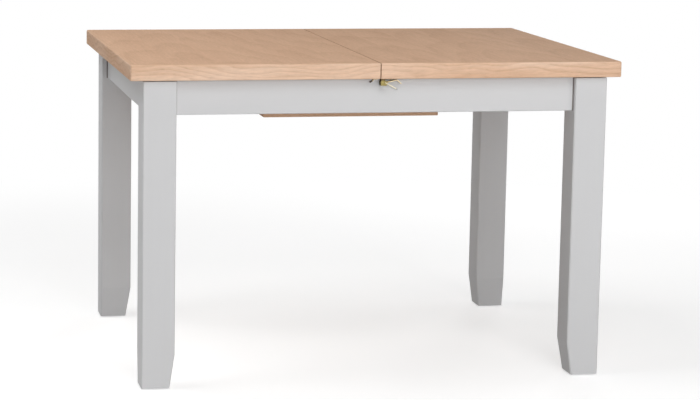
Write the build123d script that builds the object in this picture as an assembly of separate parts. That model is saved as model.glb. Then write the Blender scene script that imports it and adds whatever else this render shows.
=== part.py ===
from build123d import *
from math import cos, radians, sin, sqrt
import os

# Butterfly-leaf extending table: a painted four-leg base, an oak top in two halves that slide
# apart, and a two-wing leaf stored folded under the top. Millimetres. X runs along the length,
# Y to the back, Z up from the floor; the origin is under the middle of the closed top.

# ---- driving dimensions: top ----
top_length = 1200.0
top_depth = 900.0
table_height = 780.0
top_thickness = 38.0
top_corner_radius = 6.0
top_round = 4.0
top_arris = 1.5
meeting_arris = 1.0
lipping_thickness = 10.0
split_gap = 1.0

# ---- driving dimensions: base ----
leg_width = 80.0
leg_end_inset = 32.0
leg_side_inset = 12.0
leg_arris = 2.5
foot_taper = 12.0
foot_taper_height = 80.0
leg_corner_cut = 20.0
glide_height = 3.0
glide_radius = 14.0
apron_height = 81.0
apron_thickness = 22.0
apron_recess = 15.0
apron_arris = 1.5

# ---- driving dimensions: corner joints ----
plate_thickness = 2.5
plate_height = 32.0
plate_flange = 32.0
plate_lift = 6.0
plate_gap = 6.0
kerf_depth = 6.0
kerf_width = 3.0
bolt_radius = 4.0
bolt_depth = 45.0
bolt_tail = 12.0
nut_across_flats = 13.0
nut_height = 7.0

# ---- driving dimensions: sliding top ----
top_gap = 3.0
rail_thickness = 16.0
rail_height = 36.0
rail_drop = 4.0
tongue_length = 8.0
tongue_height = 8.0
slide_width = 26.0
slide_height = 39.0
slide_split_inset = 6.0
over_travel = 12.0
pin_radius = 4.0
pin_reach = 9.0
pin_seat = 20.0
pin_bottom = 2.0
pin_bevel = 1.6
pin_offset = 300.0

# ---- driving dimensions: stored leaf ----
leaf_length = 450.0
leaf_headroom = 52.0
leaf_side_gap = 12.0
bearer_thickness = 22.0
bearer_lift = 4.0
bearer_notch_length = 49.0
angle_size = 26.0
angle_thickness = 2.5
angle_height = 24.0
ear_thickness = 3.0
ear_width = 40.0
ear_foot = 38.0
ear_inset = 5.0
ear_nose_radius = 12.0
pivot_pin_radius = 5.0
pivot_pin_seat = 16.0
pivot_head_radius = 8.0
pivot_head_height = 3.0
rest_width = 25.0
rest_inset = 13.0
rest_thickness = 3.0
rest_foot = 30.0
rest_fixing_height = 40.0
rest_pad_thickness = 3.0
hinge_offset = 140.0
barrel_radius = 8.0
barrel_depth = 22.0
link_thickness = 4.0
link_width = 4.0
link_end_depth = 8.0
link_end_height = 6.0
link_slot_depth = 14.0
link_slot_height = 11.0

# ---- driving dimensions: catches ----
catch_plate_thickness = 1.5
catch_plate_length = 32.0
catch_plate_width = 18.0
catch_split_inset = 2.0
catch_cheek_gap = 10.4
catch_cheek_thickness = 1.2
cheek_corner_cut = 2.0
lever_pivot_in = 6.5
lever_pivot_drop = 9.0
lever_cheek_radius = 6.0
lever_cheek_thickness = 1.4
lever_depth = 16.5
lever_handle_width = 13.0
lever_handle_reach = 27.0
lever_handle_gap = 3.5
lever_tip_reach = 10.0
lever_tip_drop = 9.0
lever_pin_radius = 1.5
bail_offset = 5.5
bail_length = 33.5
bail_wire_radius = 1.0
bail_wire_sides = 12
bail_corner_cut = 3.0
bail_rest_angle = 29.0
keeper_inset = 6.0
keeper_plate_length = 10.0
keeper_width = 12.0
hook_reach = 8.0
hook_drop = 8.0

# ---- clearances ----
running_gap = 0.5
pin_end_gap = 1.0
pin_fit = 0.05
hole_clearance = 0.4
wire_fit = 0.08
side_gap = 0.3

# ---- derived places ----
half_length = top_length / 2
half_depth = top_depth / 2
top_under = table_height - top_thickness
base_top = top_under - top_gap
split_x = split_gap / 2
leg_out_x = half_length - leg_end_inset
leg_in_x = leg_out_x - leg_width
leg_out_y = half_depth - leg_side_inset
leg_in_y = leg_out_y - leg_width
apron_face_x = leg_out_x - apron_recess
apron_face_y = leg_out_y - apron_recess
apron_back_x = apron_face_x - apron_thickness
apron_back_y = apron_face_y - apron_thickness
apron_bottom = base_top - apron_height
chamfer_sum = leg_in_x + leg_in_y + leg_corner_cut
plate_sum = chamfer_sum - (plate_gap + plate_thickness / 2) * sqrt(2)
plate_bottom = apron_bottom + plate_lift
bolt_z = plate_bottom + plate_height / 2
rail_face_y = apron_back_y - rail_thickness
rail_top = base_top - rail_drop
rail_bottom = rail_top - rail_height
tongue_mid = (rail_top + rail_bottom) / 2
slide_out_y = rail_face_y - running_gap
slide_in_y = slide_out_y - slide_width
slide_bottom = top_under - slide_height
half_travel = leaf_length / 2 + over_travel
slide_end = leg_in_x - running_gap - half_travel
pin_z = table_height - top_thickness / 2
leaf_top = top_under - leaf_headroom
fold_z = leaf_top - top_thickness
leaf_bottom = fold_z - top_thickness
pivot_z = (table_height + fold_z) / 2
pivot_y = -half_depth / 6
fold_y = 2 * pivot_y
wing_free_y = fold_y + half_depth
wing_pin_y = fold_y + pin_offset
bearer_in_x = leaf_length / 2 + leaf_side_gap
bearer_bottom = apron_bottom + bearer_lift
ear_out_x = leaf_length / 2 - ear_inset
rest_back_y = wing_free_y - rest_inset
catch_y = -(half_depth + apron_face_y) / 2
lever_pivot_z = top_under - lever_pivot_drop
lever_inner = catch_cheek_gap / 2 + catch_cheek_thickness + hole_clearance
lever_outer = lever_inner + lever_cheek_thickness
bail_leg_y = lever_outer + side_gap + bail_wire_radius
bail_pivot_x = lever_pivot_in + bail_offset


# ---- small helpers ----
def save(name, *solids):
    shape = solids[0] if len(solids) == 1 else Compound(list(solids))
    export_step(shape, f"parts/{name}.step")


def block(x0, x1, y0, y1, z0, z1):
    corner = Location((min(x0, x1), min(y0, y1), min(z0, z1)))
    return corner * Box(abs(x1 - x0), abs(y1 - y0), abs(z1 - z0), align=(Align.MIN,) * 3)


def prism(points, direction):
    return Solid.extrude(Face(Wire.make_polygon([Vector(*p) for p in points])), Vector(*direction))


def rod(start, direction, radius, length):
    return Plane(start, z_dir=direction) * Cylinder(
        radius, length, align=(Align.CENTER, Align.CENTER, Align.MIN)
    )


def strip(points, thickness, y0, y1):
    """A bent strip: a centre line of (x, z) points given a thickness and drawn out along Y."""
    line = Polyline(*[(x, z) for x, z in points])
    section = trace(line, line_width=thickness)
    return Plane((0, y1, 0), x_dir=(1, 0, 0), z_dir=(0, -1, 0)) * extrude(section, amount=y1 - y0)


def mirrored_x(shape):
    return shape.mirror(Plane.YZ)


def mirrored_y(shape):
    return shape.mirror(Plane.XZ)


def quadrants(shape):
    """The shape in all four corners of the base, drawn once at +X +Y."""
    right = [shape, mirrored_y(shape)]
    return right + [mirrored_x(s) for s in right]


# ---- base: legs and aprons ----
def leg():
    """One leg at +X +Y: straight outer faces, and a short foot taper on the two inner faces."""
    height = base_top - glide_height
    taper_top = glide_height + foot_taper_height
    along_x = prism(
        [
            (leg_in_x + foot_taper, leg_in_y, glide_height),
            (leg_out_x, leg_in_y, glide_height),
            (leg_out_x, leg_in_y, glide_height + height),
            (leg_in_x, leg_in_y, glide_height + height),
            (leg_in_x, leg_in_y, taper_top),
        ],
        (0, leg_width, 0),
    )
    along_y = prism(
        [
            (leg_in_x, leg_in_y + foot_taper, glide_height),
            (leg_in_x, leg_out_y, glide_height),
            (leg_in_x, leg_out_y, glide_height + height),
            (leg_in_x, leg_in_y, glide_height + height),
            (leg_in_x, leg_in_y, taper_top),
        ],
        (leg_width, 0, 0),
    )
    body = along_x & along_y
    long_edges = [e for e in body.edges() if abs((e % 0.5).Z) > 0.7]
    body = chamfer(long_edges, leg_arris)
    body -= prism(
        [
            (leg_in_x - 1, leg_in_y - 1, plate_bottom),
            (leg_in_x + leg_corner_cut + 1, leg_in_y - 1, plate_bottom),
            (leg_in_x - 1, leg_in_y + leg_corner_cut + 1, plate_bottom),
        ],
        (0, 0, base_top - plate_bottom),
    )
    return body - rod(bolt_seat(0), (1, 1, 0), bolt_radius + pin_fit, bolt_depth)


def bolt_seat(step):
    """A point on the bolt's line, step millimetres from the leg's chamfer towards the table."""
    side = (leg_corner_cut / 2) - step / sqrt(2)
    return (leg_in_x + side, leg_in_y + side, bolt_z)


def foot_glide():
    """A nylon disc under the middle of a leg's tapered foot."""
    middle = (leg_width + foot_taper) / 2
    return rod((leg_in_x + middle, leg_in_y + middle, 0), (0, 0, 1), glide_radius, glide_height)


def long_apron():
    """The back apron; the front one is its mirror image."""
    board = block(-leg_in_x, leg_in_x, apron_back_y, apron_face_y, apron_bottom, base_top)
    low_edges = [e for e in board.edges().filter_by(Axis.X) if e.center().Z < apron_bottom + 1]
    board = chamfer(low_edges, apron_arris)
    kerf_x = plate_end_x()
    for side in (-1, 1):
        board -= block(
            side * (kerf_x - kerf_width / 2),
            side * (kerf_x + kerf_width / 2),
            apron_back_y,
            apron_back_y + kerf_depth,
            apron_bottom,
            base_top,
        )
    return board


def end_apron():
    """The right apron; the left one is its mirror image."""
    board = block(apron_back_x, apron_face_x, -leg_in_y, leg_in_y, apron_bottom, base_top)
    low_edges = [e for e in board.edges().filter_by(Axis.Y) if e.center().Z < apron_bottom + 1]
    board = chamfer(low_edges, apron_arris)
    kerf_y = plate_end_y()
    for side in (-1, 1):
        board -= block(
            apron_back_x,
            apron_back_x + kerf_depth,
            side * (kerf_y - kerf_width / 2),
            side * (kerf_y + kerf_width / 2),
            apron_bottom,
            base_top,
        )
    return board


# ---- base: corner joints ----
def plate_end_x():
    return plate_sum - (apron_back_y - plate_thickness / 2) - plate_flange


def plate_end_y():
    return plate_sum - (apron_back_x - plate_thickness / 2) - plate_flange


def corner_plate():
    """A bent steel plate hooked into a saw kerf in each apron and drawn to the leg by a bolt."""
    flange_y = apron_back_y - plate_thickness / 2
    flange_x = apron_back_x - plate_thickness / 2
    hook = kerf_depth - 1
    line = Polyline(
        (plate_end_x(), apron_back_y + hook),
        (plate_end_x(), flange_y),
        (plate_sum - flange_y, flange_y),
        (flange_x, plate_sum - flange_x),
        (flange_x, plate_end_y()),
        (apron_back_x + hook, plate_end_y()),
    )
    plate = Location((0, 0, plate_bottom)) * extrude(trace(line, plate_thickness), amount=plate_height)
    return plate - rod(bolt_seat(0), (-1, -1, 0), bolt_radius + hole_clearance, plate_gap * 3)


def leg_bolt():
    tail = plate_gap + plate_thickness + bolt_tail
    return rod(bolt_seat(tail), (1, 1, 0), bolt_radius, tail + bolt_depth - 1)


def leg_nut():
    face = plate_gap + plate_thickness
    hexagon = extrude(RegularPolygon(nut_across_flats / sqrt(3), 6), amount=nut_height)
    nut = Plane(bolt_seat(face), z_dir=(-1, -1, 0)) * hexagon
    return nut - rod(bolt_seat(face), (-1, -1, 0), bolt_radius + pin_fit, nut_height)


# ---- base: rails that the top runs on ----
def guide_rail():
    """The back rail: a batten on the long apron with a tongue that the slides run on."""
    tongue_y = rail_face_y - tongue_length
    half_tongue = tongue_height / 2
    end = leg_in_x - running_gap
    profile = [
        (-end, apron_back_y, rail_bottom),
        (-end, apron_back_y, rail_top),
        (-end, rail_face_y, rail_top),
        (-end, rail_face_y, tongue_mid + half_tongue),
        (-end, tongue_y, tongue_mid + half_tongue),
        (-end, tongue_y, tongue_mid - half_tongue),
        (-end, rail_face_y, tongue_mid - half_tongue),
        (-end, rail_face_y, rail_bottom),
    ]
    return prism(profile, (2 * end, 0, 0))


def slide():
    """The right half's back slide: a batten under the top with a groove over the rail's tongue."""
    batten = block(
        slide_split_inset, slide_end, slide_in_y, slide_out_y, slide_bottom, top_under
    )
    groove_reach = tongue_length
    half_groove = tongue_height / 2 + running_gap
    batten -= block(
        slide_split_inset,
        slide_end,
        slide_out_y - groove_reach,
        slide_out_y,
        tongue_mid - half_groove,
        tongue_mid + half_groove,
    )
    ends = [e for e in batten.edges().filter_by(Axis.Y) if e.center().Z < slide_bottom + 1]
    return chamfer(ends, 4)


# ---- base: bearers that carry the leaf ----
def leaf_bearer():
    """The right bearer: a rail from apron to apron, notched at its ends to pass under the slides."""
    notch_y = apron_back_y - bearer_notch_length
    notch_z = rail_bottom - 1
    profile = []
    for side in (1, -1):
        steps = [
            (side * apron_back_y, bearer_bottom),
            (side * apron_back_y, notch_z),
            (side * notch_y, notch_z),
            (side * notch_y, base_top),
        ]
        profile += steps if side == 1 else steps[::-1]
    board = prism([(bearer_in_x, y, z) for y, z in profile], (bearer_thickness, 0, 0))
    hole = rod((bearer_in_x, pivot_y, pivot_z), (1, 0, 0), pivot_pin_radius + pin_fit, pivot_pin_seat)
    return board - hole


def bearer_angle():
    """A steel angle that fixes a bearer's end to the long apron, drawn at the right back."""
    face_x = bearer_in_x + bearer_thickness
    z0 = bearer_bottom + 4
    upright = block(
        face_x,
        face_x + angle_thickness,
        apron_back_y - angle_size,
        apron_back_y,
        z0,
        z0 + angle_height,
    )
    flange = block(
        face_x,
        face_x + angle_size,
        apron_back_y - angle_thickness,
        apron_back_y,
        z0,
        z0 + angle_height,
    )
    return upright + flange


def pivot_pin():
    """The right pivot pin: pressed into its bearer, with a head inside the leaf's ear."""
    head_x = ear_out_x - ear_thickness - pivot_head_height - side_gap
    shank = bearer_in_x + pivot_pin_seat - 0.5 - head_x
    pin = rod((head_x, pivot_y, pivot_z), (1, 0, 0), pivot_pin_radius, shank)
    return pin + rod((head_x, pivot_y, pivot_z), (1, 0, 0), pivot_head_radius, pivot_head_height)


def pivot_spacer():
    start = ear_out_x + side_gap
    tube = rod((start, pivot_y, pivot_z), (1, 0, 0), pivot_head_radius, bearer_in_x - start)
    return tube - rod((start, pivot_y, pivot_z), (1, 0, 0), pivot_pin_radius + pin_fit, bearer_in_x - start)


def leaf_rest():
    """The right rest: a steel strip down the bearer's inner face, turned in under the leaf."""
    foot_z = leaf_bottom - rest_pad_thickness - rest_thickness / 2
    line = [
        (bearer_in_x - rest_thickness / 2, bearer_bottom + rest_fixing_height),
        (bearer_in_x - rest_thickness / 2, foot_z),
        (leaf_length / 2 - rest_foot, foot_z),
    ]
    return strip(line, rest_thickness, rest_back_y - rest_width, rest_back_y)


def rest_pad():
    return block(
        leaf_length / 2 - rest_foot + 2,
        leaf_length / 2 - 2,
        rest_back_y - rest_width + 2,
        rest_back_y - 2,
        leaf_bottom - rest_pad_thickness,
        leaf_bottom,
    )


# ---- top halves ----
def half_slab():
    """The right half's outer form, before it is parted into panel and lippings."""
    outline = Face(
        Wire.make_polygon(
            [
                Vector(split_x, -half_depth),
                Vector(half_length, -half_depth),
                Vector(half_length, half_depth),
                Vector(split_x, half_depth),
            ]
        )
    )
    outer = [v for v in outline.vertices() if v.X > half_length - 1]
    outline = outline.fillet_2d(top_corner_radius, outer)
    slab = Solid.extrude(outline, Vector(0, 0, top_thickness)).moved(Location((0, 0, top_under)))
    slab = chamfer(rim_edges(slab, 0), top_arris)
    slab = fillet(rim_edges(slab, -1), top_round)
    return chamfer(slab.faces().sort_by(Axis.X)[0].edges(), meeting_arris)


def rim_edges(slab, side):
    """Edges round the under face (0) or the upper face (-1) of a half, without its meeting edge."""
    face = slab.faces().sort_by(Axis.Z)[side]
    return [e for e in face.edges() if e.center().X > split_x + 1]


def panel_core():
    return block(
        split_x,
        half_length - lipping_thickness,
        -half_depth + lipping_thickness,
        half_depth - lipping_thickness,
        top_under,
        table_height,
    )


def pin_line():
    """Y of every locating pin along a meeting edge."""
    return [-pin_offset, pin_offset]


def right_panel():
    panel = half_slab() & panel_core()
    for y in pin_line():
        panel -= rod((split_x, y, pin_z), (1, 0, 0), pin_radius + pin_fit, pin_seat)
    return panel


def left_panel():
    panel = mirrored_x(half_slab() & panel_core())
    for y in pin_line():
        panel -= rod((-split_x, y, pin_z), (-1, 0, 0), pin_radius + hole_clearance, pin_reach + pin_bottom)
    return panel


def half_lippings():
    """Front, end and back lippings of the right half, mitred at the rounded corners."""
    rim = half_slab() - panel_core()
    inner_x = half_length - lipping_thickness
    inner_y = half_depth - lipping_thickness
    strips = []
    for side in (-1, 1):
        wedge = prism(
            [
                (split_x, side * half_depth, top_under),
                (half_length, side * half_depth, top_under),
                (inner_x, side * inner_y, top_under),
                (split_x, side * inner_y, top_under),
            ],
            (0, 0, top_thickness),
        )
        strips.append(rim & wedge)
    end_wedge = prism(
        [
            (half_length, -half_depth, top_under),
            (half_length, half_depth, top_under),
            (inner_x, inner_y, top_under),
            (inner_x, -inner_y, top_under),
        ],
        (0, 0, top_thickness),
    )
    strips.append(rim & end_wedge)
    return [s.solid() for s in strips]


def locating_pin(start, direction, seat):
    """A brass pin with a bevelled nose; it starts seat millimetres inside its own edge."""
    back = Vector(*start) - Vector(*direction) * seat
    pin = rod(tuple(back), direction, pin_radius, seat + pin_reach)
    nose = max(pin.faces().filter_by(GeomType.PLANE), key=lambda f: (f.center() - back).length)
    return chamfer(nose.edges(), pin_bevel)


# ---- stored leaf: two wings folded face to face ----
def wing(face_z, back_z):
    """A wing's outer form in storage; the free edge, at the back, carries the lipping."""
    low = min(face_z, back_z)
    slab = block(-leaf_length / 2, leaf_length / 2, fold_y, wing_free_y, low, low + top_thickness)
    slab = chamfer(free_edge(slab, back_z), top_arris)
    slab = fillet(free_edge(slab, face_z), top_round)
    for side in (0, -1):
        slab = chamfer(slab.faces().sort_by(Axis.X)[side].edges(), meeting_arris)
    return slab


def free_edge(slab, z):
    """The long edge of a wing's free side at height z."""
    long_edges = slab.edges().filter_by(Axis.X)
    return [e for e in long_edges if e.center().Y > wing_free_y - 0.1 and abs(e.center().Z - z) < 0.1]


def wing_core():
    return block(
        -leaf_length / 2,
        leaf_length / 2,
        fold_y,
        wing_free_y - lipping_thickness,
        leaf_bottom,
        leaf_top,
    )


def wing_panel(face_z, back_z):
    mid_z = (face_z + back_z) / 2
    panel = wing(face_z, back_z) & wing_core()
    panel -= rod((-leaf_length / 2, wing_pin_y, mid_z), (1, 0, 0), pin_radius + pin_fit, pin_seat)
    panel -= rod(
        (leaf_length / 2, wing_pin_y, mid_z), (-1, 0, 0), pin_radius + hole_clearance, pin_reach + pin_bottom
    )
    for x in hinge_line():
        panel -= rod((x, fold_y, mid_z), (0, 1, 0), barrel_radius + pin_fit, barrel_depth)
    return panel


def wing_lipping(face_z, back_z):
    return (wing(face_z, back_z) - wing_core()).solid()


def wing_pin(mid_z):
    return locating_pin((-leaf_length / 2, wing_pin_y, mid_z), (-1, 0, 0), pin_seat - pin_end_gap)


def hinge_line():
    return [side * hinge_offset for side in (-1, 1)]


def hinge_barrel(x, mid_z):
    """A brass barrel let into a wing's folding edge, slotted for the link."""
    barrel = rod((x, fold_y, mid_z), (0, 1, 0), barrel_radius, barrel_depth - 0.5)
    half_slot = link_thickness / 2 + side_gap
    half_height = link_slot_height / 2
    return barrel - block(
        x - half_slot,
        x + half_slot,
        fold_y,
        fold_y + link_slot_depth,
        mid_z - half_height,
        mid_z + half_height,
    )


def hinge_link(x):
    """A C-shaped link that bows round the meeting faces, with an end in each barrel."""
    rise = top_thickness / 2
    half_end = link_end_height / 2
    front = fold_y - 2 - link_width
    inner = fold_y - 2
    tip = fold_y + link_end_depth
    outline = [
        (tip, fold_z + rise + half_end),
        (front, fold_z + rise + half_end),
        (front, fold_z - rise - half_end),
        (tip, fold_z - rise - half_end),
        (tip, fold_z - rise + half_end),
        (inner, fold_z - rise + half_end),
        (inner, fold_z + rise - half_end),
        (tip, fold_z + rise - half_end),
    ]
    link = prism([(x - link_thickness / 2, y, z) for y, z in outline], (link_thickness, 0, 0))
    corners = [e for e in link.edges().filter_by(Axis.X) if e.center().Y < front + 0.1]
    return fillet(corners, link_width * 0.9)


def leaf_ear():
    """The right ear: an angle screwed on the wing's back, with a rounded nose round the pin."""
    y0 = pivot_y - ear_width / 2
    y1 = pivot_y + ear_width / 2
    foot = block(ear_out_x - ear_foot, ear_out_x, y0, y1, leaf_top, leaf_top + ear_thickness)
    inner_x = ear_out_x - ear_thickness
    nose = rod((inner_x, pivot_y, pivot_z), (1, 0, 0), ear_nose_radius, ear_thickness)
    web = prism(
        [
            (inner_x, y0, leaf_top),
            (inner_x, y1, leaf_top),
            (inner_x, pivot_y + ear_nose_radius, pivot_z),
            (inner_x, pivot_y - ear_nose_radius, pivot_z),
        ],
        (ear_thickness, 0, 0),
    )
    hole_radius = pivot_pin_radius + 2 * pin_fit
    return foot + nose + web - rod((inner_x, pivot_y, pivot_z), (1, 0, 0), hole_radius, ear_thickness)


# ---- catches, drawn at the front ----
def cheek(x_low, x_high, z_low, z_high, y_inner, thickness):
    """A pair of upright cheeks, one each side of the catch's middle."""
    pair = []
    for side in (-1, 1):
        inner = catch_y + side * y_inner
        outer = catch_y + side * (y_inner + thickness)
        pair.append(block(x_low, x_high, inner, outer, z_low, z_high))
    return pair


def catch_base():
    """The fixed plate with two cheeks that hold the lever's pin."""
    x0 = catch_split_inset
    plate_z = top_under - catch_plate_thickness
    half = catch_plate_width / 2
    base = block(x0, x0 + catch_plate_length, catch_y - half, catch_y + half, plate_z, top_under)
    cheek_x = lever_pivot_in + lever_cheek_radius
    cheek_z = lever_pivot_z - lever_cheek_radius * 0.6
    for side in cheek(x0, cheek_x, cheek_z, plate_z, catch_cheek_gap / 2, catch_cheek_thickness):
        base += side
    low = [e for e in base.edges().filter_by(Axis.Y) if e.center().Z < cheek_z + 0.1]
    base = chamfer(low, cheek_corner_cut)
    reach = lever_outer * 2
    return base - rod(
        (lever_pivot_in, catch_y - lever_outer, lever_pivot_z), (0, 1, 0), lever_pin_radius + pin_fit, reach
    )


def lever_pin():
    start = (lever_pivot_in, catch_y - lever_outer, lever_pivot_z)
    return rod(start, (0, 1, 0), lever_pin_radius, 2 * lever_outer)


def catch_lever():
    """A folded brass lever: a channel over the base's cheeks and a handle with a turned-down tip."""
    low = top_under - lever_depth
    side_profile = Plane((0, 0, 0), x_dir=(1, 0, 0), z_dir=(0, -1, 0)) * (
        Location((lever_pivot_in, lever_pivot_z)) * Circle(lever_cheek_radius - 0.5)
        + make_hull(
            Polyline(
                (lever_pivot_in - 5, lever_pivot_z),
                (lever_pivot_in - 5, low),
                (bail_pivot_x + 4, low),
                (bail_pivot_x + 5, lever_pivot_z + 2.5),
                (lever_pivot_in, lever_pivot_z + 5),
                close=True,
            ).edges()
        )
    )
    lever = None
    for side in (-1, 1):
        far = catch_y + (lever_outer if side == 1 else -lever_inner)
        flank = extrude(side_profile, amount=lever_cheek_thickness).moved(Location((0, far, 0)))
        lever = flank if lever is None else lever + flank
    web_z = low + catch_plate_thickness / 2
    web = block(
        lever_pivot_in - 5,
        bail_pivot_x + 4,
        catch_y - lever_outer,
        catch_y + lever_outer,
        low,
        low + catch_plate_thickness,
    )
    half = lever_handle_width / 2
    root_x = bail_pivot_x + 3
    bend_x = root_x + lever_handle_reach
    bend_z = top_under - lever_handle_gap
    handle = strip(
        [
            (root_x, web_z),
            (root_x + 4, bend_z - 4.5),
            (bend_x - 4, bend_z - 0.5),
            (bend_x, bend_z),
            (bend_x + lever_tip_reach * 0.45, bend_z - lever_tip_drop * 0.38),
            (bend_x + lever_tip_reach, bend_z - lever_tip_drop),
        ],
        catch_plate_thickness,
        catch_y - half,
        catch_y + half,
    )
    near = catch_y - lever_outer
    pin_radius_free = lever_pin_radius + 2 * pin_fit
    pin_hole = rod((lever_pivot_in, near, lever_pivot_z), (0, 1, 0), pin_radius_free, 2 * lever_outer)
    eye = RegularPolygon(bail_wire_radius + wire_fit, bail_wire_sides, major_radius=False)
    eyes = Plane((bail_pivot_x, near, lever_pivot_z), z_dir=(0, 1, 0)) * extrude(eye, amount=2 * lever_outer)
    return lever + web + handle - pin_hole - eyes


def catch_bail():
    """A wire bail: ends turned in through the lever's flanks, legs and a cross bar."""
    eye = lever_inner + 0.1
    corner = bail_length - bail_corner_cut
    half_bar = bail_leg_y - bail_corner_cut
    half_flat = [(0, eye), (0, bail_leg_y), (corner, bail_leg_y), (bail_length, half_bar)]
    flat = half_flat + [(u, -v) for u, v in reversed(half_flat)]
    turn = radians(bail_rest_angle)
    path = Polyline(
        *[(bail_pivot_x + u * cos(turn), catch_y + v, lever_pivot_z - u * sin(turn)) for u, v in flat]
    )
    section = Plane(path @ 0, z_dir=path % 0) * RegularPolygon(bail_wire_radius, bail_wire_sides)
    return sweep(section, path=path, transition=Transition.RIGHT)


def catch_keeper():
    """The hook on the left half that the bail's cross bar is drawn into."""
    half = keeper_width / 2
    plate_z = top_under - catch_plate_thickness / 2
    heel_x = -keeper_inset - keeper_plate_length
    line = [
        (-keeper_inset, plate_z),
        (heel_x, plate_z),
        (heel_x - 1.5, plate_z - hook_drop * 0.5),
        (heel_x - hook_reach, plate_z - hook_drop),
    ]
    return strip(line, catch_plate_thickness, catch_y - half, catch_y + half)


# ---- write every node ----
def write_base():
    corner_names = ("leg_back_right", "leg_front_right", "leg_back_left", "leg_front_left")
    for name, solid in zip(corner_names, quadrants(leg())):
        save(name, solid)
    save("foot_glides", *quadrants(foot_glide()))
    save("apron_back", long_apron())
    save("apron_front", mirrored_y(long_apron()))
    save("apron_right_end", end_apron())
    save("apron_left_end", mirrored_x(end_apron()))
    save("corner_plates", *quadrants(corner_plate()))
    save("leg_bolts", *quadrants(leg_bolt()))
    save("leg_nuts", *quadrants(leg_nut()))
    save("guide_rail_back", guide_rail())
    save("guide_rail_front", mirrored_y(guide_rail()))
    save("leaf_bearer_right", leaf_bearer())
    save("leaf_bearer_left", mirrored_x(leaf_bearer()))
    save("bearer_angles", *quadrants(bearer_angle()))
    save("leaf_pivot_pins", pivot_pin(), mirrored_x(pivot_pin()))
    save("leaf_pivot_spacers", pivot_spacer(), mirrored_x(pivot_spacer()))
    save("leaf_rests", leaf_rest(), mirrored_x(leaf_rest()))
    save("leaf_rest_pads", rest_pad(), mirrored_x(rest_pad()))


def write_top():
    save("right_top_panel", right_panel())
    save("left_top_panel", left_panel())
    save("right_top_lipping", *half_lippings())
    save("left_top_lipping", *[mirrored_x(s) for s in half_lippings()])
    save("right_slide_back", slide())
    save("right_slide_front", mirrored_y(slide()))
    save("left_slide_back", mirrored_x(slide()))
    save("left_slide_front", mirrored_x(mirrored_y(slide())))
    pins = [locating_pin((split_x, y, pin_z), (-1, 0, 0), pin_seat - pin_end_gap) for y in pin_line()]
    save("top_locating_pins", *pins)


def write_leaf():
    pivot_mid = (fold_z + leaf_top) / 2
    folding_mid = (fold_z + leaf_bottom) / 2
    save("leaf_pivot_panel", wing_panel(fold_z, leaf_top))
    save("leaf_pivot_lipping", wing_lipping(fold_z, leaf_top))
    save("leaf_pivot_locating_pin", wing_pin(pivot_mid))
    save("leaf_ears", leaf_ear(), mirrored_x(leaf_ear()))
    save("leaf_hinge_barrels_pivot", *[hinge_barrel(x, pivot_mid) for x in hinge_line()])
    save("leaf_hinge_links", *[hinge_link(x) for x in hinge_line()])
    save("leaf_folding_panel", wing_panel(fold_z, leaf_bottom))
    save("leaf_folding_lipping", wing_lipping(fold_z, leaf_bottom))
    save("leaf_folding_locating_pin", wing_pin(folding_mid))
    save("leaf_hinge_barrels_folding", *[hinge_barrel(x, folding_mid) for x in hinge_line()])


def write_catches():
    makers = {
        "catch_base": catch_base,
        "catch_lever_pin": lever_pin,
        "catch_lever": catch_lever,
        "catch_bail": catch_bail,
        "catch_keeper": catch_keeper,
    }
    for name, make in makers.items():
        save(f"{name}_front", make())
        save(f"{name}_back", mirrored_y(make()))


os.makedirs("parts", exist_ok=True)
write_base()
write_top()
write_leaf()
write_catches()
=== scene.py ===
from math import cos, radians, sin

import bmesh
import bpy
from mathutils import Matrix, Vector


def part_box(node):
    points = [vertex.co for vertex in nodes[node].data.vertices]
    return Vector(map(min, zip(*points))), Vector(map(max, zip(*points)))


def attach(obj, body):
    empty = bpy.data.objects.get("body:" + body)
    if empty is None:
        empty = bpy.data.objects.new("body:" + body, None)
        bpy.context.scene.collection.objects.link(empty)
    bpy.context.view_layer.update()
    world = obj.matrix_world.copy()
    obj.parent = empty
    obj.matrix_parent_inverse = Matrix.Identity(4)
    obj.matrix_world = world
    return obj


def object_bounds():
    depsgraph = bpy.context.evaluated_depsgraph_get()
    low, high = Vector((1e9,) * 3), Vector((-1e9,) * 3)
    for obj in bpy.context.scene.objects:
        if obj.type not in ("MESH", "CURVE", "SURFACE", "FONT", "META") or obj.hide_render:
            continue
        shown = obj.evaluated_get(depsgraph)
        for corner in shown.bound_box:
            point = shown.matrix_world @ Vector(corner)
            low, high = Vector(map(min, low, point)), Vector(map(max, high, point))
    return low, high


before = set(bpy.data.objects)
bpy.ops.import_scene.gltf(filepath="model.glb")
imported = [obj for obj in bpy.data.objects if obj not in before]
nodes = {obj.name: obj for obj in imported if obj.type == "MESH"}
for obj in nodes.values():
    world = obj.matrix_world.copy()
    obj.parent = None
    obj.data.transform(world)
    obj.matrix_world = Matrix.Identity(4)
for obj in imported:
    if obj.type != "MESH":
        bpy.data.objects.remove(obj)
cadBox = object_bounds()
tableSide, tableTop = cadBox[1][1], cadBox[1][2]
print("frame loaded:", len(nodes), "nodes")


# shader helpers
def newMaterial(name):
    material = bpy.data.materials.new(name)
    material.use_nodes = True
    tree = material.node_tree
    tree.nodes.clear()
    output = tree.nodes.new("ShaderNodeOutputMaterial")
    shader = tree.nodes.new("ShaderNodeBsdfPrincipled")
    tree.links.new(shader.outputs["BSDF"], output.inputs["Surface"])
    return material, tree, shader


def newGroup(name, inputs, outputs):
    tree = bpy.data.node_groups.new(name, "ShaderNodeTree")
    for label, kind, value in inputs:
        socket = tree.interface.new_socket(label, in_out="INPUT", socket_type=kind)
        if value is not None:
            socket.default_value = value
    for label, kind in outputs:
        tree.interface.new_socket(label, in_out="OUTPUT", socket_type=kind)
    return tree, tree.nodes.new("NodeGroupInput"), tree.nodes.new("NodeGroupOutput")


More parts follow.
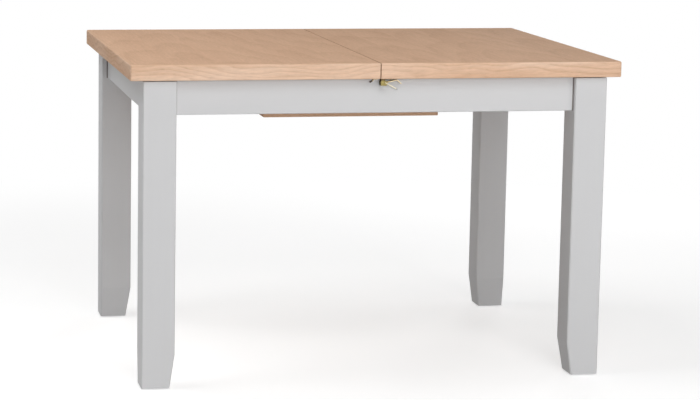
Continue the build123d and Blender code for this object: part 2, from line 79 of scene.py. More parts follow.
def useGroup(tree, group, **values):
    node = tree.nodes.new("ShaderNodeGroup")
    node.node_tree = group
    for label, value in values.items():
        node.inputs[label].default_value = value
    return node


def addNode(tree, kind, links=None, **settings):
    node = tree.nodes.new(kind)
    for name, value in settings.items():
        if name.startswith("in_"):
            node.inputs[name[3:]].default_value = value
        else:
            setattr(node, name, value)
    for key, source in (links or {}).items():
        tree.links.new(source, node.inputs[key])
    return node


def math(tree, operation, a, b=None, clamp=False):
    node = tree.nodes.new("ShaderNodeMath")
    node.operation = operation
    node.use_clamp = clamp
    for slot, value in enumerate((a, b)):
        if value is None:
            continue
        if isinstance(value, (int, float)):
            node.inputs[slot].default_value = value
        else:
            tree.links.new(value, node.inputs[slot])
    return node.outputs[0]


def distance(tree, a, b):
    squares = math(tree, "ADD", math(tree, "POWER", a, 2.0), math(tree, "POWER", b, 2.0))
    return math(tree, "SQRT", squares)


def objectPlace(tree):
    # the coordinates of the piece as a vector, and as X, Y and Z
    coord = addNode(tree, "ShaderNodeTexCoord").outputs["Object"]
    return coord, addNode(tree, "ShaderNodeSeparateXYZ", {"Vector": coord}).outputs


def mixColour(tree, factor, a, b):
    node = tree.nodes.new("ShaderNodeMix")
    node.data_type = "RGBA"
    for slot, value in ((0, factor), (6, a), (7, b)):
        if isinstance(value, (int, float, tuple)):
            node.inputs[slot].default_value = value
        else:
            tree.links.new(value, node.inputs[slot])
    return node.outputs[2]


def srgb(red, green, blue):
    def linear(v):
        v /= 255
        return v / 12.92 if v <= 0.04045 else ((v + 0.055) / 1.055) ** 2.4

    return (linear(red), linear(green), linear(blue), 1)


# effects that more than one material uses
def noise(tree, vector, scale, detail, rough=0.5):
    node = addNode(tree, "ShaderNodeTexNoise", {"Vector": vector}, in_Scale=scale, in_Detail=detail)
    node.inputs["Roughness"].default_value = rough
    return node.outputs["Fac"]


def blendOf(tree, vector, along, across, detail=2.0, rough=0.5):
    # noise drawn out along X of the vector
    mapping = addNode(tree, "ShaderNodeMapping", {"Vector": vector})
    mapping.inputs["Scale"].default_value = (along, across, across)
    return noise(tree, mapping.outputs[0], 1.0, detail, rough)


def relieve(tree, shader, height, strength, reach):
    # fine relief through the shader's normal
    bump = addNode(tree, "ShaderNodeBump", {"Height": height})
    bump.inputs["Strength"].default_value = strength
    bump.inputs["Distance"].default_value = reach
    tree.links.new(bump.outputs[0], shader.inputs["Normal"])


# how the grain is drawn: each blend has its scale along and across the grain
grainShape = {
    "boardShift": 7.0,
    "swingBlend": (2.4, 7.0),
    "swingDepth": 0.01,
    "ringSharpness": 2.5,
    "ringEnd": 0.86,
    "ringFall": 7.0,
    "fadeBlend": (1.5, 18.0),
    "fadeLift": 0.1,
    "streakBlend": (5.0, 260.0),
    "fleckBlend": (34.0, 240.0),
    "poreBlend": (70.0, 1500.0),
    "poreStart": 0.58,
    "poreSharpness": 8.0,
    "poreSpread": 0.35,
    "cloudBlend": (2.2, 16.0),
}


def makeGrainGroup(shape):
    # X of the vector runs along the grain, Y across the board, Z into it
    tree, inp, out = newGroup(
        "oakGrain",
        [
            ("Vector", "NodeSocketVector", None),
            ("Board Width", "NodeSocketFloat", 0.1),
            ("Ring Density", "NodeSocketFloat", 160.0),
            ("Wave", "NodeSocketFloat", 0.012),
            ("Rise", "NodeSocketFloat", 0.06),
        ],
        [
            ("Rings", "NodeSocketFloat"),
            ("Streaks", "NodeSocketFloat"),
            ("Flecks", "NodeSocketFloat"),
            ("Pores", "NodeSocketFloat"),
            ("Cloud", "NodeSocketFloat"),
            ("Board", "NodeSocketFloat"),
        ],
    )
    vector = inp.outputs["Vector"]
    split = addNode(tree, "ShaderNodeSeparateXYZ", {"Vector": vector})
    along, across, deep = split.outputs
    boards = math(tree, "DIVIDE", across, inp.outputs["Board Width"])
    index = math(tree, "FLOOR", boards)
    chance = addNode(tree, "ShaderNodeTexWhiteNoise", {"W": index}, noise_dimensions="1D")
    chances = addNode(tree, "ShaderNodeSeparateColor", {"Color": chance.outputs["Color"]}).outputs
    inBoard = math(tree, "SUBTRACT", math(tree, "FRACT", boards), chances[0])
    fromHeart = math(tree, "MULTIPLY", inBoard, inp.outputs["Board Width"])
    shift = math(tree, "MULTIPLY", chances[1], shape["boardShift"])
    ownPlace = {0: math(tree, "ADD", along, shift), 1: across, 2: deep}
    shifted = addNode(tree, "ShaderNodeCombineXYZ", ownPlace).outputs[0]
    swing = math(tree, "SUBTRACT", blendOf(tree, shifted, *shape["swingBlend"]), 0.5)
    sideways = math(tree, "ADD", fromHeart, math(tree, "MULTIPLY", swing, inp.outputs["Wave"]))
    climb = math(tree, "MULTIPLY", math(tree, "ADD", along, chances[2]), inp.outputs["Rise"])
    ripple = math(tree, "MULTIPLY", swing, shape["swingDepth"])
    depth = math(tree, "ADD", math(tree, "ADD", deep, climb), ripple)
    radius = distance(tree, sideways, depth)
    turn = math(tree, "FRACT", math(tree, "MULTIPLY", radius, inp.outputs["Ring Density"]))
    late = math(tree, "POWER", turn, shape["ringSharpness"])
    pastEnd = math(tree, "SUBTRACT", turn, shape["ringEnd"])
    fall = math(tree, "MULTIPLY", pastEnd, shape["ringFall"], clamp=True)
    rings = math(tree, "MULTIPLY", late, math(tree, "SUBTRACT", 1.0, fall))
    fade = math(tree, "ADD", blendOf(tree, shifted, *shape["fadeBlend"]), shape["fadeLift"])
    streaks = blendOf(tree, shifted, *shape["streakBlend"], detail=4.0, rough=0.62)
    flecks = blendOf(tree, shifted, *shape["fleckBlend"], detail=3.0, rough=0.6)
    pores = blendOf(tree, shifted, *shape["poreBlend"], detail=1.0)
    pastStart = math(tree, "SUBTRACT", pores, shape["poreStart"])
    poreMask = math(tree, "MULTIPLY", pastStart, shape["poreSharpness"], clamp=True)
    cloud = blendOf(tree, shifted, *shape["cloudBlend"], detail=3.0)
    for label, source in (
        ("Rings", math(tree, "MULTIPLY", rings, fade)),
        ("Streaks", streaks),
        ("Flecks", flecks),
        ("Pores", math(tree, "MULTIPLY", poreMask, math(tree, "ADD", rings, shape["poreSpread"]))),
        ("Cloud", cloud),
        ("Board", chances[1]),
    ):
        tree.links.new(source, out.inputs[label])
    return tree


wearShape = {"wideScale": 4.0, "wideShare": 0.6, "fineScale": 38.0, "fineShare": 0.4, "tintShare": 0.5}


def makeWearGroup(shape):
    # soft uneven handling marks: a little more sheen here, a little less there
    tree, inp, out = newGroup(
        "surfaceWear",
        [("Vector", "NodeSocketVector", None), ("Amount", "NodeSocketFloat", 0.1)],
        [("Sheen", "NodeSocketFloat"), ("Tint", "NodeSocketFloat")],
    )
    vector = inp.outputs["Vector"]
    wide = noise(tree, vector, shape["wideScale"], 4.0)
    fine = noise(tree, vector, shape["fineScale"], 5.0, rough=0.65)
    broad = math(tree, "MULTIPLY", wide, shape["wideShare"])
    mixed = math(tree, "ADD", broad, math(tree, "MULTIPLY", fine, shape["fineShare"]))
    amount = math(tree, "MULTIPLY", math(tree, "SUBTRACT", mixed, 0.5), inp.outputs["Amount"])
    tint = math(tree, "ADD", 1.0, math(tree, "MULTIPLY", amount, shape["tintShare"]))
    tree.links.new(amount, out.inputs["Sheen"])
    tree.links.new(tint, out.inputs["Tint"])
    return tree


grainGroup = makeGrainGroup(grainShape)
wearGroup = makeWearGroup(wearShape)
print("shared effects ready")


def useWear(tree, amount):
    wear = useGroup(tree, wearGroup, Amount=amount)
    tree.links.new(objectPlace(tree)[0], wear.inputs["Vector"])
    return wear.outputs


def grainVector(tree, along, offset=(0, 0, 0)):
    # the piece's own coordinates, reordered so that the grain runs along X
    order = {"X": "XZY", "Y": "YXZ", "Z": "ZXY"}[along]
    place = objectPlace(tree)[1]
    joined = addNode(tree, "ShaderNodeCombineXYZ", {i: place[a] for i, a in enumerate(order)})
    moved = addNode(tree, "ShaderNodeVectorMath", {0: joined.outputs[0]}, operation="ADD")
    moved.inputs[1].default_value = offset
    return moved.outputs[0]


# oak and other timber
oakTop = {
    "pale": srgb(222, 185, 156),
    "deep": srgb(212, 174, 145),
    "late": srgb(187, 147, 118),
    "poreColour": srgb(150, 110, 84),
    "boardWidth": 0.098,
    "boardTone": 0.035,
    "density": 190.0,
    "wave": 0.006,
    "rise": 0.018,
    "cloud": 1.3,
    "ring": 0.4,
    "streak": 0.24,
    "fleck": 0.26,
    "pore": 0.4,
    "gloss": 0.02,
    "rough": 0.72,
    "poreRough": 0.15,
    "wear": 0.16,
    "streakRelief": 0.3,
    "bumpStrength": 0.3,
    "bump": 0.0005,
    # painted shade along the split between the two halves
    "splitShadeColour": srgb(120, 84, 62),
    "splitShadeReach": 0.0014,
    "splitShadeRim": 0.0013,
    "splitShadeSharpness": 2.5,
}
# the strips' upright faces: paler than their upward face, partly their own edge grain and partly painted
# light
oakEdgeGrainAndLight = dict(
    oakTop,
    pale=srgb(235, 205, 181),
    deep=srgb(212, 171, 139),
    late=srgb(182, 136, 102),
    boardWidth=1.7,
    boardTone=0.0,
    density=130.0,
    wave=0.13,
    rise=0.05,
    cloud=2.4,
    ring=0.55,
    streak=0.14,
    fleck=0.34,
    gloss=0.05,
)
beech = dict(
    oakTop,
    pale=srgb(222, 192, 156),
    deep=srgb(206, 172, 136),
    late=srgb(188, 150, 114),
    boardWidth=0.4,
    ring=0.35,
    streak=0.12,
    pore=0.15,
    gloss=0.15,
)


def timberColour(tree, look, vector):
    # colour, pores and relief of one board direction
    grain = useGroup(
        tree,
        grainGroup,
        **{
            "Board Width": look["boardWidth"],
            "Ring Density": look["density"],
            "Wave": look["wave"],
            "Rise": look["rise"],
        },
    )
    tree.links.new(vector, grain.inputs["Vector"])
    marks = grain.outputs

    def around(mark, amount):
        return math(tree, "MULTIPLY", math(tree, "SUBTRACT", marks[mark], 0.5), look[amount])

    spread = math(tree, "ADD", around("Cloud", "cloud"), 0.5, clamp=True)
    colour = mixColour(tree, spread, look["pale"], look["deep"])
    ring = math(tree, "MULTIPLY", marks["Rings"], look["ring"])
    colour = mixColour(tree, ring, colour, look["late"])
    texture = math(tree, "ADD", around("Streaks", "streak"), around("Flecks", "fleck"))
    value = math(tree, "ADD", texture, around("Board", "boardTone"))
    tone = addNode(tree, "ShaderNodeHueSaturation", {"Color": colour})
    tree.links.new(math(tree, "ADD", 1.0, value), tone.inputs["Value"])
    pore = math(tree, "MULTIPLY", marks["Pores"], look["pore"])
    colour = mixColour(tree, pore, tone.outputs[0], look["poreColour"])
    ridges = math(tree, "MULTIPLY", marks["Streaks"], look["streakRelief"])
    return colour, marks["Pores"], math(tree, "SUBTRACT", ridges, marks["Pores"])


def finishTimber(tree, shader, look, colour, pores, relief):
    wear = useWear(tree, look["wear"])
    tree.links.new(colour, shader.inputs["Base Color"])
    shader.inputs["Specular IOR Level"].default_value = look["gloss"]
    rough = math(tree, "ADD", look["rough"], math(tree, "MULTIPLY", pores, look["poreRough"]))
    tree.links.new(math(tree, "ADD", rough, wear["Sheen"]), shader.inputs["Roughness"])
    relieve(tree, shader, relief, look["bumpStrength"], look["bump"])


def paintSplitShade(tree, look, colour):
    # painted shade: the split where the two halves meet is darkened, at the rim only
    place = objectPlace(tree)[1]
    far = math(tree, "DIVIDE", math(tree, "ABSOLUTE", place[0]), look["splitShadeReach"])
    near = math(tree, "SUBTRACT", 1.0, far, clamp=True)
    mask = math(tree, "MULTIPLY", near, look["splitShadeSharpness"], clamp=True)
    onTop = math(tree, "GREATER_THAN", place[2], tableTop - look["splitShadeRim"])
    onSide = math(tree, "GREATER_THAN", math(tree, "ABSOLUTE", place[1]), tableSide - look["splitShadeRim"])
    atRim = math(tree, "MAXIMUM", onTop, onSide)
    return mixColour(tree, math(tree, "MULTIPLY", mask, atRim), colour, look["splitShadeColour"])


def timber(name, along, look, offset=(0, 0, 0), joint=False):
    material, tree, shader = newMaterial(name)
    colour, pores, relief = timberColour(tree, look, grainVector(tree, along, offset))
    # painted shade along the split, on the halves' panels
    if joint:
        colour = paintSplitShade(tree, look, colour)
    finishTimber(tree, shader, look, colour, pores, relief)
    return material


def mixVector(tree, factor, a, b):
    node = tree.nodes.new("ShaderNodeMix")
    node.data_type = "VECTOR"
    for slot, value in ((0, factor), (4, a), (5, b)):
        tree.links.new(value, node.inputs[slot])
    return node.outputs[1]


# the strips round the top: how deep its face look goes, and where each grain is cut from
lipping = {
    "faceDepth": 0.0008,
    "longOffset": (7.2, 0.115, 0.02),
    "endOffset": (0.1, 0.4, 0.03),
}


def lippingTimber(name, look, faceLook, edges):
    # strips along X at the front and back, along Y at the ends, parted at the mitres
    material, tree, shader = newMaterial(name)
    place = objectPlace(tree)[1]
    panelEnd, panelSide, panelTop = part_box("right_top_panel")[1]
    pastEnd = math(tree, "SUBTRACT", math(tree, "ABSOLUTE", place[0]), panelEnd)
    pastSide = math(tree, "SUBTRACT", math(tree, "ABSOLUTE", place[1]), panelSide)
    isEnd = math(tree, "GREATER_THAN", pastEnd, pastSide)
    long = grainVector(tree, "X", edges["longOffset"])
    cross = grainVector(tree, "Y", edges["endOffset"])
    vector = mixVector(tree, isEnd, long, cross)
    side = timberColour(tree, look, vector)
    # painted light, in part: the upward face takes the top's look and the upright faces the paler edge
    # look
    face = timberColour(tree, faceLook, vector)
    onFace = math(tree, "GREATER_THAN", place[2], panelTop - edges["faceDepth"])
    # painted shade along the split, on the lippings too
    colour = paintSplitShade(tree, look, mixColour(tree, onFace, side[0], face[0]))
    finishTimber(tree, shader, look, colour, side[1], side[2])
    return material


def coat(material, *names):
    for name in names:
        slots = nodes[name].data.materials
        slots.clear()
        slots.append(material)


# paint
paintLook = {
    "pale": srgb(208, 208, 209),
    "deep": srgb(204, 204, 205),
    "gloss": 0.25,
    "rough": 0.46,
    "wear": 0.14,
    "brushBlend": (6.0, 180.0),
    "toneBlend": (2.0, 7.0),
    "brush": 0.02,
    "peelScale": 380.0,
    "brushRelief": 0.8,
    "peelRelief": 0.5,
    "bumpStrength": 0.2,
    "bump": 0.00025,
    # painted shade in the corners where the aprons meet the legs
    "cornerShadeReach": 0.0035,
    "cornerShadeSharpness": 1.6,
    "cornerShadeColour": srgb(120, 112, 110),
}


def paintCornerShade(tree, look, place, colour):
    # painted shade: darker in the corners where the aprons meet the legs
    legEnd, legSide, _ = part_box("leg_back_right")[0]
    longLow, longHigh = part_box("apron_back")
    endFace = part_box("apron_right_end")[1][0]
    beside = math(tree, "GREATER_THAN", place[2], longLow[2])
    for x, y in ((legEnd, longHigh[1]), (endFace, legSide)):
        across = math(tree, "SUBTRACT", math(tree, "ABSOLUTE", place[0]), x)
        deep = math(tree, "SUBTRACT", math(tree, "ABSOLUTE", place[1]), y)
        away = math(tree, "DIVIDE", distance(tree, across, deep), look["cornerShadeReach"])
        near = math(tree, "SUBTRACT", 1.0, away, clamp=True)
        cornerShaded = math(tree, "MULTIPLY", near, look["cornerShadeSharpness"], clamp=True)
        colour = mixColour(tree, math(tree, "MULTIPLY", cornerShaded, beside), colour, look["cornerShadeColour"])
    return colour


def paint(name, along, look):
    # thin sprayed coat: the timber's grain and a fine peel just show through
    material, tree, shader = newMaterial(name)
    vector = grainVector(tree, along)
    coord, place = objectPlace(tree)
    brush = blendOf(tree, vector, *look["brushBlend"], detail=4.0, rough=0.6)
    blend = blendOf(tree, vector, *look["toneBlend"], detail=3.0)
    colour = mixColour(tree, blend, look["pale"], look["deep"])
    tone = addNode(tree, "ShaderNodeHueSaturation", {"Color": colour})
    stroke = math(tree, "MULTIPLY", math(tree, "SUBTRACT", brush, 0.5), look["brush"])
    tree.links.new(math(tree, "ADD", 1.0, stroke), tone.inputs["Value"])
    # the base colour carries the painted shade in the apron and leg corners
    tree.links.new(paintCornerShade(tree, look, place, tone.outputs[0]), shader.inputs["Base Color"])
    wear = useWear(tree, look["wear"])
    tree.links.new(math(tree, "ADD", look["rough"], wear["Sheen"]), shader.inputs["Roughness"])
    shader.inputs["Specular IOR Level"].default_value = look["gloss"]
    peel = math(tree, "MULTIPLY", noise(tree, coord, look["peelScale"], 2.0), look["peelRelief"])
    height = math(tree, "ADD", math(tree, "MULTIPLY", brush, look["brushRelief"]), peel)
    relieve(tree, shader, height, look["bumpStrength"], look["bump"])
    return material


# metal; "from" is a distance from the middle of the table along X, in metres
zinc = {"tint": srgb(150, 152, 156), "dark": srgb(108, 110, 114), "rough": 0.4}
agedBrass = {"tint": srgb(168, 154, 100), "dark": srgb(116, 104, 60), "rough": 0.34}
# painted shade and highlight: the lever is dark out to "from" for the shade round its pivot, and pale
# beyond it for a highlight on its handle
leverShadeAndHighlight = {
    "tint": srgb(134, 122, 78),
    "dark": srgb(84, 74, 44),
    "farTint": srgb(206, 188, 152),
    "farDark": srgb(170, 150, 114),
    "from": 0.0175,
    "fade": 0.002,
    "rough": 0.3,
}
# painted highlight: the wire is near white for the light it catches, and darker at the tip
bailHighlightBrass = {
    "tint": srgb(238, 230, 206),
    "dark": srgb(214, 204, 174),
    "farTint": srgb(104, 92, 70),
    "farDark": srgb(62, 54, 42),
    "from": 0.0385,
    "fade": 0.0015,
    "rough": 0.3,
}
# painted shade: the catch base is coloured dark for the shadow under the slab
catchBrassShade = {"tint": srgb(92, 78, 54), "dark": srgb(56, 46, 32), "rough": 0.4}
# painted highlight and shade: the keeper is pale near the split for a glint, and dark on its hook for its
# shade
keeperGlintAndShade = {
    "tint": srgb(176, 166, 140),
    "dark": srgb(132, 120, 96),
    "farTint": srgb(72, 60, 46),
    "farDark": srgb(38, 32, 26),
    "from": 0.0185,
    "fade": 0.001,
    "rough": 0.36,
}
metalSurface = {"mottle": 160.0, "fine": 1400.0, "fineRough": 0.12, "bumpStrength": 0.15, "bump": 0.0001}


def metal(name, look, surface=metalSurface):
    material, tree, shader = newMaterial(name)
    coord, place = objectPlace(tree)
    mottle = noise(tree, coord, surface["mottle"], 4.0)
    fine = noise(tree, coord, surface["fine"], 2.0)
    colour = mixColour(tree, mottle, look["dark"], look["tint"])
    if "from" in look:
        # a second tone from a place along X outwards: painted highlight on the lever's handle, painted
        # shade on the keeper's hook, a darker tip on the bail
        far = mixColour(tree, mottle, look["farDark"], look["farTint"])
        past = math(tree, "SUBTRACT", math(tree, "ABSOLUTE", place[0]), look["from"])
        mask = math(tree, "DIVIDE", past, look["fade"], clamp=True)
        colour = mixColour(tree, mask, colour, far)
    tree.links.new(colour, shader.inputs["Base Color"])
    roughness = math(tree, "ADD", look["rough"], math(tree, "MULTIPLY", fine, surface["fineRough"]))
    tree.links.new(roughness, shader.inputs["Roughness"])
    shader.inputs["Metallic"].default_value = 1.0
    relieve(tree, shader, fine, surface["bumpStrength"], surface["bump"])
    return material


# nylon and felt
nylon = {"tint": srgb(96, 92, 88), "rough": 0.5, "wear": 0.3}
felt = {"tint": srgb(92, 74, 60), "rough": 0.95, "wear": 0.3}


def mattFinish(name, look):
    material, tree, shader = newMaterial(name)
    wear = useWear(tree, look["wear"])
    tone = addNode(tree, "ShaderNodeHueSaturation", {"Value": wear["Tint"]})
    tone.inputs["Color"].default_value = look["tint"]
    tree.links.new(tone.outputs[0], shader.inputs["Base Color"])
    tree.links.new(math(tree, "ADD", look["rough"], wear["Sheen"]), shader.inputs["Roughness"])
    return material


# each node gets its finish
leafOffset = (0.7, 0.05, 0)  # other boards than the top's
coat(timber("oakPanel", "Y", oakTop, joint=True), "left_top_panel", "right_top_panel")
coat(timber("oakLeaf", "Y", oakTop, leafOffset), "leaf_pivot_panel", "leaf_folding_panel")
lippings = [name for name in nodes if name.endswith("_lipping")]
coat(lippingTimber("oakLipping", oakEdgeGrainAndLight, oakTop, lipping), *lippings)
legs = [name for name in nodes if name.startswith("leg_") and name.endswith(("left", "right"))]
coat(paint("paintLegs", "Z", paintLook), *legs)
coat(paint("paintLongAprons", "X", paintLook), "apron_front", "apron_back")
coat(paint("paintEndAprons", "Y", paintLook), "apron_left_end", "apron_right_end")
runners = [name for name in nodes if name.startswith("guide_rail") or "_slide_" in name]
coat(timber("beechRunners", "X", beech), *runners)
coat(timber("beechBearers", "Y", beech), "leaf_bearer_left", "leaf_bearer_right")
steel = metal("zincSteel", zinc)
coat(steel, "corner_plates", "leg_bolts", "leg_nuts", "bearer_angles")
coat(steel, "leaf_pivot_pins", "leaf_rests", "leaf_ears")
brass = metal("agedBrass", agedBrass)
coat(brass, *[name for name in nodes if "locating_pin" in name or "hinge" in name or "lever_pin" in name])
coat(metal("catchBrassShade", catchBrassShade), "catch_base_front", "catch_base_back")
coat(metal("leverShadeAndHighlight", leverShadeAndHighlight), "catch_lever_front", "catch_lever_back")
coat(metal("bailHighlightBrass", bailHighlightBrass), "catch_bail_front", "catch_bail_back")
coat(metal("keeperGlintAndShade", keeperGlintAndShade), "catch_keeper_front", "catch_keeper_back")
coat(mattFinish("greyNylon", nylon), "foot_glides", "leaf_pivot_spacers")
coat(mattFinish("brownFelt", felt), "leaf_rest_pads")
print("materials ready")

# small screws, left out of the solids
screw = {
    "sides": 24,
    "radius": 0.0038,
    "height": 0.0018,
    "dome": 0.0008,
    "domeSteps": 3,
    "slotLength": 0.0042,
    "slotWidth": 0.001,
    "slotDepth": 0.0012,
    "slotTaper": 0.7,
    "smoothAngle": 32,
    "firstTurn": 17,
    "nextTurn": 40,
}
# where they sit: from the edges of the pieces they hold, in metres
screwPlaces = {
    "slideShares": (0.1, 0.5, 0.9),
    "angleWall": 0.0025,
    "angleMiddle": 0.0145,
    "restWall": 0.003,
    "restDrops": (0.010, 0.030),
    "earWall": 0.003,
    "earEnd": 0.028,
    "earStep": 0.012,
    "catchWall": 0.0015,
    "catchEnd": 0.009,
    "catchStep": 0.0058,
    "catchSize": 0.5,
    "keeperEnd": 0.0045,
    "keeperStep": 0.0033,
    "keeperSize": 0.45,
}


def pick(piece, kind, test):
    # selects the edges or faces of the piece in edit mode whose every corner passes
    mesh = bmesh.from_edit_mesh(piece.data)
    for part in getattr(mesh, kind):
        part.select = all(test(corner.co) for corner in part.verts)
    mesh.select_flush_mode()
    bmesh.update_edit_mesh(piece.data)


def modelScrew(look):
    # a pan head with a cross recess, its seat at the origin, facing +Z
    bpy.ops.object.select_all(action="DESELECT")
    middle = (0, 0, look["height"] / 2)
    bpy.ops.mesh.primitive_cylinder_add(
        vertices=look["sides"], radius=look["radius"], depth=look["height"], location=middle
    )
    head = bpy.context.object
    bpy.ops.object.transform_apply(location=True)
    bpy.ops.object.mode_set(mode="EDIT")
    bpy.ops.mesh.select_all(action="DESELECT")
    bpy.ops.mesh.select_mode(type="EDGE")
    pick(head, "edges", lambda co: co.z > middle[2])
    bpy.ops.mesh.bevel(offset=look["dome"], segments=look["domeSteps"], affect="EDGES")
    bpy.ops.object.mode_set(mode="OBJECT")
    for turn in (0, 90):
        bpy.ops.object.select_all(action="DESELECT")
        bpy.ops.mesh.primitive_cube_add(size=1, location=(0, 0, look["height"]))
        cutter = bpy.context.object
        cutter.scale = (look["slotLength"], look["slotWidth"], 2 * look["slotDepth"])
        cutter.rotation_euler.z = radians(turn)
        bpy.ops.object.transform_apply(location=True, rotation=True, scale=True)
        bpy.ops.object.mode_set(mode="EDIT")
        bpy.ops.mesh.select_all(action="DESELECT")
        bpy.ops.mesh.select_mode(type="FACE")
        pick(cutter, "faces", lambda co: co.z < look["height"])
        taper = look["slotTaper"]
        bpy.ops.transform.resize(value=(taper, taper, 1))
        bpy.ops.object.mode_set(mode="OBJECT")
        cut = head.modifiers.new("recess", "BOOLEAN")
        cut.operation = "DIFFERENCE"
        cut.solver = "EXACT"
        cut.object = cutter
        bpy.ops.object.select_all(action="DESELECT")
        head.select_set(True)
        bpy.context.view_layer.objects.active = head
        bpy.ops.object.modifier_apply(modifier=cut.name)
        bpy.data.objects.remove(cutter)
    bpy.ops.object.shade_smooth_by_angle(angle=radians(look["smoothAngle"]))
    return head


def driveScrews(master, name, body, facing, places, size=1.0):
    # copies of the head at each place, its back on the face it holds, joined into one piece;
    # full-size screws are steel and the catches' small ones brass
    bpy.ops.object.select_all(action="DESELECT")
    for number, place in enumerate(places):
        head = master.copy()
        head.data = master.data.copy()
        bpy.context.scene.collection.objects.link(head)
        turn = Matrix.Rotation(radians(screw["firstTurn"] + screw["nextTurn"] * number), 4, "Z")
        stand = Vector(facing).to_track_quat("Z", "X").to_matrix().to_4x4()
        head.matrix_world = Matrix.Translation(place) @ stand @ turn @ Matrix.Scale(size, 4)
        head.select_set(True)
        bpy.context.view_layer.objects.active = head
    if len(places) > 1:
        bpy.ops.object.join()
    group = bpy.context.view_layer.objects.active
    bpy.ops.object.transform_apply(location=True, rotation=True, scale=True)
    group.name = name
    group.data.materials.clear()
    group.data.materials.append(steel if size == 1.0 else brass)
    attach(group, body)


def between(low, high, share):
    return low + (high - low) * share


def pairOf(step):
    return (-step, step)


def fitSideScrews(head, side, at):
    # slides, angles, rests and ears of one side
    sign = -1 if side == "left" else 1
    for end in ("front", "back"):
        low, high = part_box(f"{side}_slide_{end}")
        middle = (low[1] + high[1]) / 2
        spots = [(between(low[0], high[0], share), middle, low[2]) for share in at["slideShares"]]
        driveScrews(head, f"{side}SlideScrews{end.title()}", f"{side}_half", (0, 0, -1), spots)
    inner, outer = (1, 0) if side == "left" else (0, 1)
    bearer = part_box(f"leaf_bearer_{side}")
    low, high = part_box("bearer_angles")
    x = bearer[outer][0]
    z = (low[2] + high[2]) / 2
    wall, leg = at["angleWall"], at["angleMiddle"]
    spots = [(x + sign * wall, away * (high[1] - leg), z) for away in (-1, 1)]
    driveScrews(head, f"{side}AngleScrewsBearer", "base", (sign, 0, 0), spots)
    for end, away in (("Front", -1), ("Back", 1)):
        spot = (x + sign * leg, away * (high[1] - wall), z)
        driveScrews(head, f"{side}AngleScrew{end}", "base", (0, -away, 0), [spot])
    low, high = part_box("leaf_rests")
    face = bearer[inner][0] - sign * at["restWall"]
    middle = (low[1] + high[1]) / 2
    spots = [(face, middle, high[2] - drop) for drop in at["restDrops"]]
    driveScrews(head, f"{side}RestScrews", "base", (-sign, 0, 0), spots)
    low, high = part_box("leaf_ears")
    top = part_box("leaf_pivot_panel")[1][2] + at["earWall"]
    middle = (low[1] + high[1]) / 2
    spots = [(sign * (high[0] - at["earEnd"]), middle + step, top) for step in pairOf(at["earStep"])]
    driveScrews(head, f"{side}EarScrews", "leaf_pivot_wing", (0, 0, 1), spots)


def fitCatchScrews(head, end, at):
    # the catch base in the right half and its keeper in the left
    low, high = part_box(f"catch_base_{end}")
    middle = (low[1] + high[1]) / 2
    under = high[2] - at["catchWall"]
    spots = [(high[0] - at["catchEnd"], middle + step, under) for step in pairOf(at["catchStep"])]
    driveScrews(head, f"catchBaseScrews{end.title()}", "right_half", (0, 0, -1), spots, at["catchSize"])
    low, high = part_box(f"catch_keeper_{end}")
    spots = [(high[0] - at["keeperEnd"], middle + step, under) for step in pairOf(at["keeperStep"])]
    driveScrews(head, f"keeperScrews{end.title()}", "left_half", (0, 0, -1), spots, at["keeperSize"])


def fitScrews():
    head = modelScrew(screw)
    for side in ("left", "right"):
        fitSideScrews(head, side, screwPlaces)
    for end in ("front", "back"):
        fitCatchScrews(head, end, screwPlaces)
    bpy.data.objects.remove(head)


fitScrews()
print("screws ready")

# stage
studio = {
    "floorSize": 60.0,
    "floorColour": (0.67, 0.67, 0.67, 1),
    "seenColour": (0.6, 0.6, 0.6, 1),
    "seenGlow": 0.6,
    "shadowReach": 1.5,
    "whiteReach": 2.8,
    "worldLight": 0.05,
}
# name: place, aim, width, watts
lamps = {
    "keyLamp": ((-0.05, -4.8, 0.95), (0.05, 0, 0.4), 2.8, 95),
    "highLamp": ((0.3, -3.2, 3.2), (0, 0, 0.6), 2.0, 52),
    "overheadLamp": ((-1.7, 0.2, 3.2), (0, 0, 0.7), 2.2, 51),
    "leftFill": ((-4.2, -1.0, 2.4), (0, 0, 0.7), 2.0, 16),
    "backFill": ((2.0, 3.8, 0.5), (0.1, 0, 0.45), 1.0, 85),
    "rightFill": ((3.0, -3.4, 0.9), (0.5, 0, 0.4), 2.0, 24),
    "farFill": ((4.4, 1.4, 1.5), (0, 0, 0.5), 2.4, 22),
}


def whenSeen(tree):
    path = addNode(tree, "ShaderNodeLightPath")
    straight = math(tree, "MAXIMUM", path.outputs["Is Camera Ray"], path.outputs["Is Glossy Ray"])
    return math(tree, "MAXIMUM", straight, path.outputs["Is Transmission Ray"])


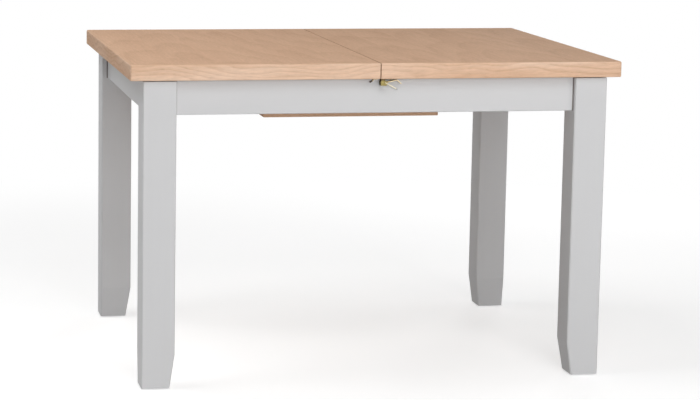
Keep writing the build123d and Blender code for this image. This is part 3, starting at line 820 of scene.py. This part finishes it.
def makeFloor():
    bpy.ops.object.select_all(action="DESELECT")
    bpy.ops.mesh.primitive_plane_add(size=studio["floorSize"], location=(0, 0, 0))
    floor = bpy.context.object
    floor.name = "studioFloor"
    material = bpy.data.materials.new("studioWhite")
    material.use_nodes = True
    tree = material.node_tree
    tree.nodes.clear()
    output = tree.nodes.new("ShaderNodeOutputMaterial")
    unseen = addNode(tree, "ShaderNodeBsdfDiffuse", in_Color=studio["floorColour"])
    coord = objectPlace(tree)[0]
    reach = addNode(tree, "ShaderNodeVectorMath", {0: coord}, operation="LENGTH").outputs["Value"]
    far = addNode(tree, "ShaderNodeMapRange", {"Value": reach}, interpolation_type="SMOOTHSTEP")
    far.inputs["From Min"].default_value = studio["shadowReach"]
    far.inputs["From Max"].default_value = studio["whiteReach"]
    shade = mixColour(tree, far.outputs["Result"], studio["seenColour"], (0, 0, 0, 1))
    matt = addNode(tree, "ShaderNodeBsdfDiffuse", {"Color": shade})
    rise = math(tree, "MULTIPLY", far.outputs["Result"], 1.0 - studio["seenGlow"])
    glow = addNode(tree, "ShaderNodeEmission", {"Strength": math(tree, "ADD", studio["seenGlow"], rise)})
    seen = addNode(tree, "ShaderNodeAddShader", {0: matt.outputs[0], 1: glow.outputs[0]})
    sides = {0: whenSeen(tree), 1: unseen.outputs[0], 2: seen.outputs[0]}
    choice = addNode(tree, "ShaderNodeMixShader", sides)
    tree.links.new(choice.outputs[0], output.inputs["Surface"])
    floor.data.materials.append(material)


def makeWorld():
    world = bpy.data.worlds.new("studio")
    bpy.context.scene.world = world
    world.use_nodes = True
    tree = world.node_tree
    tree.nodes.clear()
    output = tree.nodes.new("ShaderNodeOutputWorld")
    white = (1, 1, 1, 1)
    ambient = addNode(tree, "ShaderNodeBackground", in_Color=white, in_Strength=studio["worldLight"])
    backdrop = addNode(tree, "ShaderNodeBackground", in_Color=white, in_Strength=1.0)
    sides = {0: whenSeen(tree), 1: ambient.outputs[0], 2: backdrop.outputs[0]}
    choice = addNode(tree, "ShaderNodeMixShader", sides)
    tree.links.new(choice.outputs[0], output.inputs["Surface"])


def makeLamps():
    for name, (place, aim, width, watts) in lamps.items():
        data = bpy.data.lights.new(name, "AREA")
        data.shape = "SQUARE"
        data.size = width
        data.energy = watts
        lamp = bpy.data.objects.new(name, data)
        bpy.context.scene.collection.objects.link(lamp)
        lamp.location = place
        lamp.rotation_euler = (Vector(aim) - Vector(place)).to_track_quat("-Z", "Y").to_euler()


makeFloor()
makeWorld()
makeLamps()
print("stage ready")

# camera; angles in radians
view = {
    "place": (-1.2948, -5.6495, 1.3418),
    "sensor": 36,
    "yaw": 0.1842,
    "pitch": -0.1461,
    "roll": 0.0124,
    "lens": 116.49,
    "shiftX": 0.15,
    "shiftY": -0.0636,
}


def makeCamera():
    data = bpy.data.cameras.new("viewCamera")
    data.sensor_width = view["sensor"]
    data.lens = view["lens"]
    data.shift_x = view["shiftX"]
    data.shift_y = view["shiftY"]
    camera = bpy.data.objects.new("viewCamera", data)
    bpy.context.scene.collection.objects.link(camera)
    yaw, pitch, roll = view["yaw"], view["pitch"], view["roll"]
    right = Vector((cos(yaw), -sin(yaw), 0))
    ahead = Vector((sin(yaw), cos(yaw), 0))
    forward = ahead * cos(pitch) + Vector((0, 0, 1)) * sin(pitch)
    up = Vector((0, 0, 1)) * cos(pitch) - ahead * sin(pitch)
    side = right * cos(roll) + up * sin(roll)
    top = up * cos(roll) - right * sin(roll)
    turn = Matrix((side, top, -forward)).transposed().to_4x4()
    camera.matrix_world = Matrix.Translation(view["place"]) @ turn
    bpy.context.scene.camera = camera


makeCamera()
bpy.context.scene.view_settings.view_transform = "Standard"
print("camera ready")
